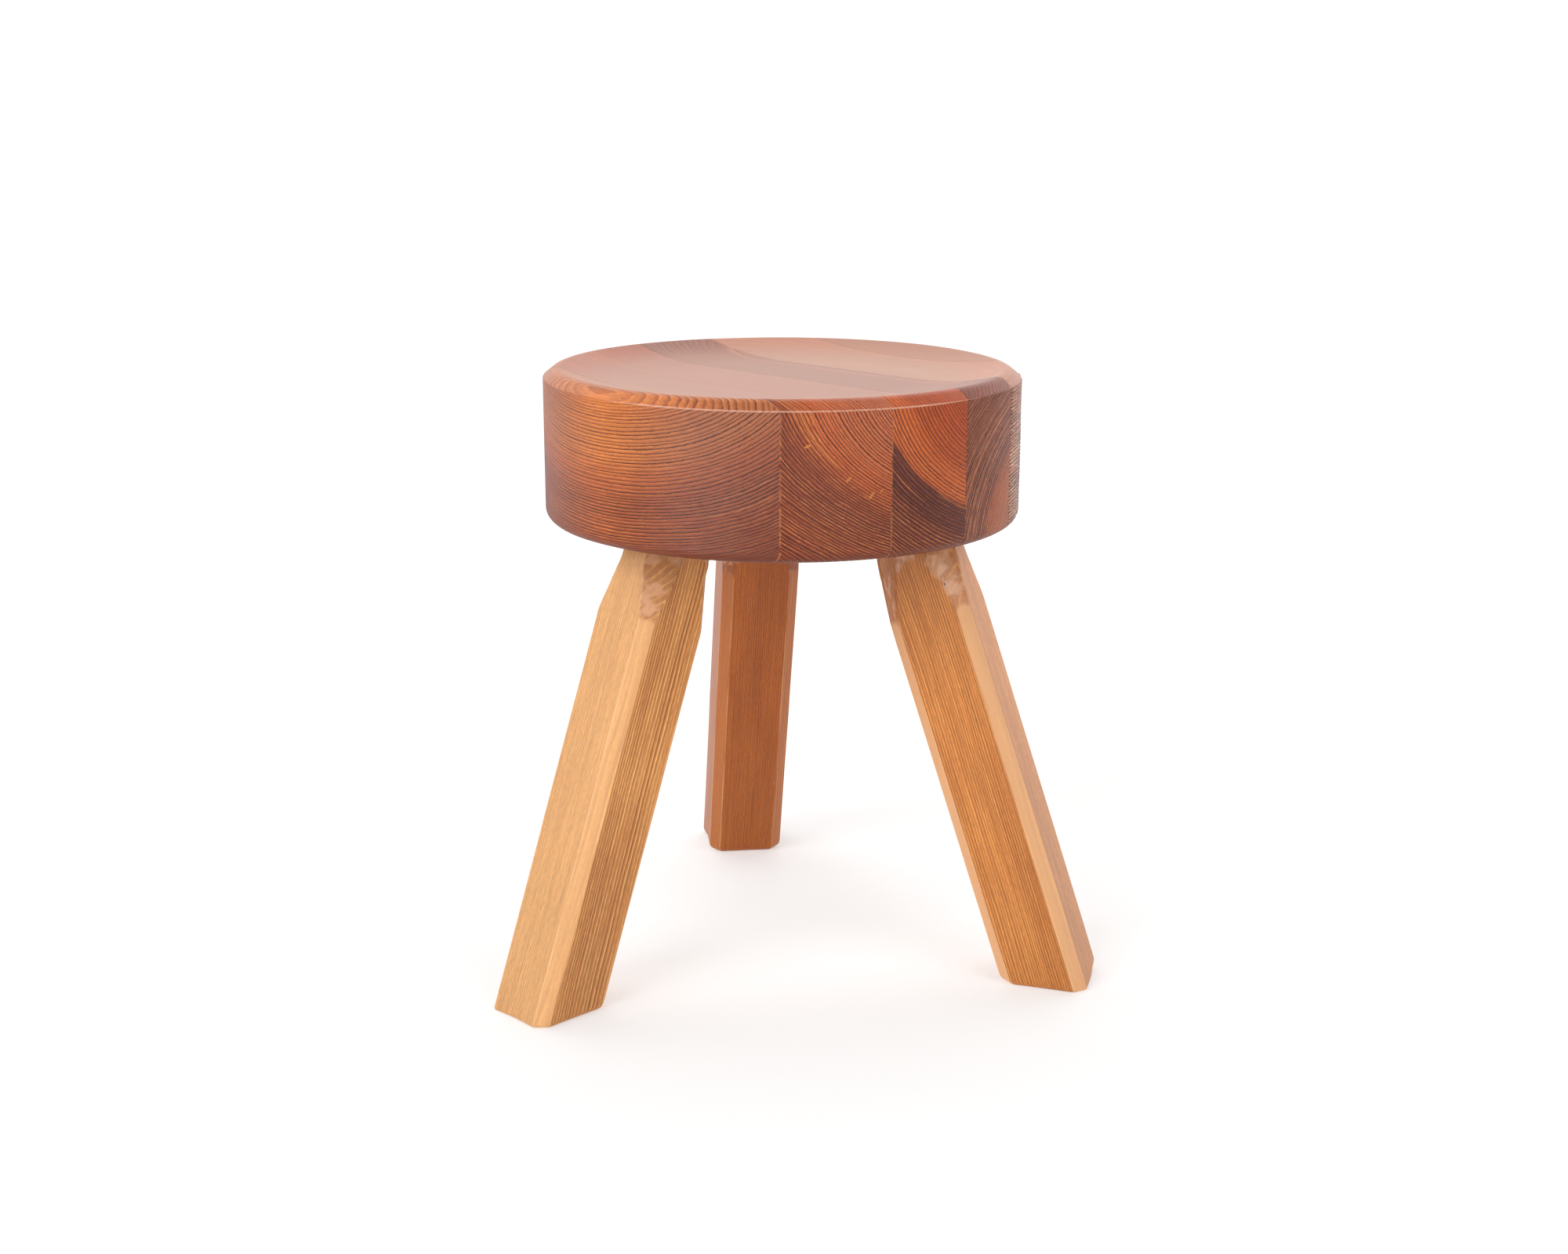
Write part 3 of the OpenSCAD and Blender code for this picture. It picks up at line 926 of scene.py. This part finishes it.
def seat_material(number):
    look = BOARD_LOOKS[number]
    net = Net(bpy.data.materials.new(f"seat_wood_{number + 1}"))
    wood = net.attribute("wood", "Vector")
    parts = net.node("SeparateXYZ", {"Vector": wood})
    radius, around, along = (parts.outputs[axis] for axis in "XYZ")
    place = net.shifted(wood, BOARD_SHIFT * number)
    dish = net.attribute("dish")
    upper = net.attribute("upper")
    end = net.attribute("end_grain")

    uneven = net.noise(place, UNEVEN_SCALE, 4.0, 0.65)
    unevenness = net.span(uneven, 0, 1, -UNEVENNESS, UNEVENNESS)
    late, ridge_highlight, year = year_rings(net, unevenness, SEAT_LATE, SEAT_RIDGE_HIGHLIGHT)
    ground, dark, glint = stained_zones(net, look, place, radius)

    # Towards the middle of the dish the wood is paler and its rings fainter, and so are some boards' rims.
    far = net.span(along, FAR_RIM_START, FAR_RIM_END, 0, FAR_RIM_PALENESS)
    on_rim = net.product(upper, net.math("MAXIMUM", far, look["rim"]))
    smooth = net.math("MAXIMUM", net.product(dish, DISH_PALENESS), on_rim)
    ground = net.mix(smooth, ground, linear(look["face"]))
    faint = net.product(net.span(dish, 0, 1, 1.0, DISH_FAINTNESS),
                       net.span(upper, 0, 1, 1.0, look["on_top"]))

    # The ring lines, and the pale thread beside each, a painted highlight on the ridge.
    force = net.product(net.span(year, 0, 1, WEAKEST_YEAR, 1.0), faint)
    colour = net.mix(net.product(late, force), ground, dark)
    spark = net.noise(place, SPARK_SCALE, 2.0, 0.6)
    gleam = net.product(ridge_highlight, glint, net.span(spark, 0.3, 0.65, 0.1, 1.2))
    colour = net.mix(net.product(gleam, faint), colour, linear(look["light"]))

    # Single pale rings, patches of resin across the rings, and streaks of it along them.
    depth = net.total(radius, net.product(unevenness, MM_PER_UNEVENNESS))
    colour = pale_rings(net, look, colour, depth, around, spark)
    if number == RESIN_BOARD:
        colour = resin_patches(net, colour, depth, around, spark)
    streak = net.noise(place, STREAK_SCALE, 2.0, 0.6)
    resin = net.product(net.span(streak, 0.66, 0.74, 0, look["streaks"], True), faint)
    colour = net.mix(resin, colour, linear(RESIN))

    # Darker and lighter fibre, open pores and broad shading, weaker where the wood is smooth.
    fibre = net.noise(place, FIBRE_SCALE, 3.0, 0.7)
    speck = net.noise(place, SPECK_SCALE, 2.0, 0.7)
    broad = net.noise(place, BROAD_SCALE)
    shade = net.product(net.span(fibre, 0.3, 0.7, 0.80, 1.20), net.span(speck, 0.3, 0.7, 0.78, 1.18),
                        net.span(broad, 0.3, 0.7, 0.88, 1.08))
    plain = net.math("MAXIMUM", net.product(dish, 0.8), net.product(on_rim, 1.3))
    shade = net.mix(plain, shade, WHITE)
    colour = net.mix(1.0, colour, shade, "MULTIPLY")
    if number == 0:
        tint = net.mix(net.ramp(end, greys(LIGHTLY_STAINED)), DEEP_TINT, LIGHT_TINT)
        tint = net.mix(net.attribute("top"), tint, WHITE)
        colour = net.mix(1.0, colour, tint, "MULTIPLY")

    # Underneath the wood is darker. A glue joint's edge is paler, and a pale highlight is painted along the
    # worn sharp edge.
    below = net.product(net.attribute("under"), 0.9)
    colour = net.mix(below, colour, linear(UNDERSIDE))
    colour = net.mix(net.attribute("glue"), colour, linear(GLUE))
    edge = net.product(net.span(net.attribute("edge"), 0.25, 0.8, 0.85, 0),
                       net.span(spark, 0.25, 0.55, 0.3, 1.0))
    colour = net.mix(edge, colour, linear(ARRIS_HIGHLIGHT))

    # The raised latewood is burnished, the soft wood between it is duller. The upper side is even.
    rough = net.total(net.product(late, -0.45), net.product(fibre, 0.6))
    rough = net.span(rough, -0.3, 0.5, SMOOTHEST, ROUGHEST)
    even = net.product(upper, 0.85)
    change = net.product(even, net.math("SUBTRACT", UPPER_ROUGHNESS, rough))
    rough = net.total(rough, change)
    height = net.total(net.product(late, 0.7), net.product(speck, 0.35), net.product(fibre, 0.35))
    height = net.product(height, net.span(end, 0, 0.6, 0.4, 1.0), net.span(upper, 0, 1, 1.0, 0.15))
    finish_surface(net, colour, rough, height, look["bump"])
    return net.owner


# ---- the legs' wood

LEG_LATE = [(0.0, 0.0), (0.40, 0.05), (0.66, 0.9), (0.86, 1.0), (0.97, 0.0)]
LEG_RIDGE_HIGHLIGHT = [(0.0, 1.0), (0.16, 0.7), (0.30, 0.0), (0.94, 0.0), (1.0, 1.0)]
LEG_UNEVEN_SCALE = (0.4, 0.1, 0.02)
LEG_UNEVENNESS = 0.25
LEG_SHIFT = 50.0
LEG_BROAD_SCALE = (0.05, 0.03, 0.008)
LEG_SPARK_SCALE = (0.9, 0.3, 0.02)
LEG_FIBRE_SCALE = (2.6, 0.7, 0.02)
LEG_SPECK_SCALE = (2.4, 1.5, 0.25)
PORE_SCALE = (2.2, 0.9, 0.10)
HIGHLIGHT_PATCH_SCALE = (0.22, 0.12, 0.10)
LEG_BUMP = 0.12

NECK_BROWN = (0.66, 0.55, 0.42)
NECK_HIGHLIGHT = (.90, .69, .56)
NECK_FLAT_HIGHLIGHT = (.89, .67, .51)
LEG_EDGE_HIGHLIGHT = (.97, .78, .56)
KNOT = (.36, .18, .12)

# How each leg's wood looks. light: the painted highlight on each ring's ridge. outer: the outer face, painted
# paler as light and reflection on it. worn: the planed corners, painted paler as a reflection of the light;
# pale: how much.
LEG_LOOKS = {
    "leg_front_left": dict(
        ground=(.87, .60, .34), light=(.99, .78, .48), dark=(.62, .33, .12), worn=(.95, .72, .50),
        outer=(.95, .74, .50), contrast=0.85, outer_painted_light=0.45, pale=0.6, browner=0.5,
    ),
    "leg_front_right": dict(
        ground=(.84, .53, .26), light=(.97, .70, .38), dark=(.60, .31, .10), worn=(.92, .70, .50),
        outer=(.86, .64, .50), contrast=0.8, outer_painted_light=0.3, pale=0.75, browner=0.5,
    ),
    "leg_back": dict(
        ground=(.70, .38, .13), light=(.80, .49, .22), dark=(.55, .26, .07), worn=(.77, .47, .24),
        outer=(.70, .38, .13), contrast=0.6, outer_painted_light=0.0, pale=0.4, browner=0.4,
    ),
}

# A small dark knot high on the front right leg: way round the pith, way along the leg, and its half widths.
KNOT_LEG = "leg_front_right"
KNOT_AROUND, KNOT_HALF_AROUND = 88.2, 0.33
KNOT_ALONG, KNOT_HALF_ALONG = -39.7, 1.2


def leg_material(name):
    look = LEG_LOOKS[name]
    net = Net(bpy.data.materials.new("wood_of_" + name))
    wood = net.attribute("wood", "Vector")
    place = net.shifted(wood, LEG_SHIFT * LEG_NAMES.index(name))
    neck = net.attribute("neck")
    dark, light = linear(look["dark"]), linear(look["light"])

    uneven = net.noise(place, LEG_UNEVEN_SCALE)
    unevenness = net.span(uneven, 0, 1, -LEG_UNEVENNESS, LEG_UNEVENNESS)
    late, ridge_highlight, year = year_rings(net, unevenness, LEG_LATE, LEG_RIDGE_HIGHLIGHT)

    # The ground colour, the ring lines and the pale thread beside each, a painted highlight on the ridge.
    broad = net.noise(place, LEG_BROAD_SCALE, 3.0)
    ground = net.mix(net.span(broad, 0.35, 0.65, 0, 0.45), linear(look["ground"]), dark)
    strong = net.product(net.span(year, 0, 1, 0.2 * look["contrast"], look["contrast"]),
                         net.span(neck, 0, 1, 1.0, 0.25))
    colour = net.mix(net.product(late, strong), ground, dark)
    spark = net.noise(place, LEG_SPARK_SCALE, 2.0, 0.6)
    gleam = net.product(ridge_highlight, net.span(spark, 0.35, 0.65, 0, look["contrast"]))
    colour = net.mix(gleam, colour, light)
    # The outer face is painted paler, as light and reflection falling on it.
    outer = net.product(net.attribute("outer"), look["outer_painted_light"])
    colour = net.mix(outer, colour, linear(look["outer"]))

    # Darker and lighter fibre and open pores. The foot is a little darker.
    fibre = net.noise(place, LEG_FIBRE_SCALE, 3.0, 0.7)
    speck = net.noise(place, LEG_SPECK_SCALE, 1.0)
    pore = net.noise(place, PORE_SCALE, 1.0)
    shade = net.product(net.span(fibre, 0.3, 0.7, 0.78, 1.20), net.span(speck, 0.3, 0.7, 0.86, 1.12),
                        net.span(pore, 0.70, 0.78, 1.0, 0.72),
                        net.span(net.attribute("foot"), 0, 1, 1.0, 0.88))
    tone = net.node("CombineXYZ", {"X": shade, "Y": shade, "Z": shade}).outputs[0]
    colour = net.mix(1.0, colour, tone, "MULTIPLY")

    # The tapered neck is browner where the cut opens the grain, with painted highlights in pale patches and
    # on the pale flat over the front corner.
    highlight_noise = net.noise(place, HIGHLIGHT_PATCH_SCALE)
    highlight_patches = net.span(highlight_noise, 0.48, 0.66, 0, 0.6, True)
    browner = net.mix(1.0, colour, NECK_BROWN, "MULTIPLY")
    colour = net.mix(net.product(neck, look["browner"]), colour, browner)
    colour = net.mix(net.product(neck, highlight_patches), colour, linear(NECK_HIGHLIGHT))
    facet = net.product(net.attribute("facet"), net.span(highlight_patches, 0, 0.6, 0.3, 0.75))
    colour = net.mix(facet, colour, linear(NECK_FLAT_HIGHLIGHT))
    if name == KNOT_LEG:
        parts = net.node("SeparateXYZ", {"Vector": wood})
        reach = ellipse_reach(net, (parts.outputs["Y"], KNOT_AROUND), KNOT_HALF_AROUND,
                              (parts.outputs["Z"], KNOT_ALONG), KNOT_HALF_ALONG)
        colour = net.mix(net.span(reach, 0.6, 1.2, 0.85, 0, True), colour, linear(KNOT))

    # The planed corners are painted paler, as a reflection of the light on them, and a pale highlight is
    # painted along the worn line where they meet the faces.
    pale = net.span(broad, 0.3, 0.7, look["pale"] - 0.1, look["pale"] + 0.1)
    chamfer = net.product(net.attribute("chamfer"), pale)
    colour = net.mix(chamfer, colour, linear(look["worn"]))
    edge_highlight = net.product(net.span(net.attribute("edge"), 0.1, 0.7, 0.5, 0), net.span(spark, 0.35, 0.6))
    colour = net.mix(edge_highlight, colour, linear(LEG_EDGE_HIGHLIGHT))

    rough = net.math("SUBTRACT", net.span(fibre, 0, 1, 0.36, 0.48), net.product(neck, 0.14))
    height = net.total(net.product(late, 0.5), net.product(fibre, 0.45))
    finish_surface(net, colour, rough, height, LEG_BUMP)
    return net.owner


# ---- build

seat_points, seat_faces = turned_seat()
for index in range(len(BOARD_NAMES)):
    seat_board(index, seat_points, seat_faces, seat_material(index))
for leg_name in LEG_NAMES:
    leg(leg_name, leg_material(leg_name))

# ---- floor, light and camera

FLOOR_SIZE = 30.0
FLOOR_GREY = 0.60
FLOOR_GLOW = 0.42
FRONT_GLOW = 0.25
BACK_GLOW = 1.65
GLOW_START, GLOW_END = -0.1, 0.5
SEEN_GLOW = 1.02


def pale_floor():
    corners = np.array([(-1, -1, 0), (1, -1, 0), (1, 1, 0), (-1, 1, 0)]) * FLOOR_SIZE
    floor = mesh_object("floor", corners, [(0, 1, 2, 3)], smooth=False)
    net = Net(bpy.data.materials.new("pale_floor"))
    paint = net.node("BsdfDiffuse", {"Color": (FLOOR_GREY, FLOOR_GREY, FLOOR_GREY, 1)})
    glow = net.node("Emission", {"Color": (1, 1, 1, 1), "Strength": FLOOR_GLOW})
    both = net.node("AddShader", {0: paint.outputs[0], 1: glow.outputs[0]})
    net.node("OutputMaterial", {"Surface": both.outputs[0]})
    floor.data.materials.append(net.owner)


def studio_world():
    """White surroundings that light the stool mostly from behind, and look evenly white themselves."""
    world = bpy.data.worlds.new("studio")
    bpy.context.scene.world = world
    net = Net(world)
    coords = net.node("TexCoord").outputs["Generated"]
    split = net.node("SeparateXYZ", {0: coords})
    around = net.span(split.outputs["Y"], GLOW_START, GLOW_END, FRONT_GLOW, BACK_GLOW, smooth=True)
    seen = net.node("LightPath").outputs["Is Camera Ray"]
    strength = net.node("Mix", {0: seen, 2: around, 3: SEEN_GLOW}).outputs[0]
    shine = net.node("Background", {"Color": (1, 1, 1, 1), "Strength": strength})
    net.node("OutputWorld", {"Surface": shine.outputs[0]})


def lamp_object(name, kind, towards):
    """A lamp that shines from the given direction."""
    lamp = bpy.data.lights.new(name, kind)
    thing = bpy.data.objects.new(name, lamp)
    thing.rotation_mode = "QUATERNION"
    thing.rotation_quaternion = towards.to_track_quat("Z", "Y")
    bpy.context.scene.collection.objects.link(thing)
    return thing


def sun(name, azimuth, elevation, strength, spread):
    """A soft, distant lamp. Azimuth is the side it stands on, from the front round to the right."""
    a, e = math.radians(azimuth), math.radians(elevation)
    towards = Vector((math.sin(a) * math.cos(e), -math.cos(a) * math.cos(e), math.sin(e)))
    lamp = lamp_object(name, "SUN", towards).data
    lamp.energy = strength
    lamp.angle = math.radians(spread)


def card(name, azimuth, distance, width, height, strength):
    """A tall, upright soft box standing on the floor, seen only as a sheen on the wood. In metres."""
    a = math.radians(azimuth)
    towards = Vector((math.sin(a), -math.cos(a), 0))
    thing = lamp_object(name, "AREA", towards)
    lamp = thing.data
    lamp.shape = "RECTANGLE"
    lamp.size = width
    lamp.size_y = height
    lamp.energy = strength * math.pi * width * height
    thing.location = towards * distance + Vector((0, 0, height / 2 + 0.01))
    thing.visible_diffuse = False
    thing.visible_camera = False


pale_floor()
studio_world()
sun("key_left", azimuth=-51, elevation=32, strength=1.5, spread=40)
sun("fill_right", azimuth=36, elevation=30, strength=0.9, spread=40)
card("card_left", azimuth=-51, distance=1.25, width=0.45, height=1.3, strength=3.8)
card("card_right", azimuth=29, distance=1.25, width=0.35, height=1.3, strength=1.2)

CAMERA_AZIMUTH = math.radians(-9.365)
CAMERA_ELEVATION = math.radians(14.702)
CAMERA_DISTANCE = 1.41173
CAMERA_AIM = (AXIS[0] * MM + 0.00169, AXIS[1] * MM, 0.21343)
CAMERA_ROLL = math.radians(0.216)

back = Vector((
    math.sin(CAMERA_AZIMUTH) * math.cos(CAMERA_ELEVATION),
    -math.cos(CAMERA_AZIMUTH) * math.cos(CAMERA_ELEVATION),
    math.sin(CAMERA_ELEVATION),
))
right = Vector((0, 0, 1)).cross(back).normalized()
up = back.cross(right)
rolled_right = right * math.cos(CAMERA_ROLL) + up * math.sin(CAMERA_ROLL)
rolled_up = up * math.cos(CAMERA_ROLL) - right * math.sin(CAMERA_ROLL)
camera_data = bpy.data.cameras.new("camera")
camera_data.lens = 49.906
camera_data.sensor_width = 36
camera_data.clip_end = 100
camera = bpy.data.objects.new("camera", camera_data)
bpy.context.scene.collection.objects.link(camera)
camera.matrix_world = Matrix.Translation(Vector(CAMERA_AIM) + back * CAMERA_DISTANCE) @ Matrix(
    (rolled_right, rolled_up, back)
).transposed().to_4x4()
bpy.context.scene.camera = camera
bpy.context.scene.view_settings.view_transform = "Standard"

bpy.context.view_layer.update()
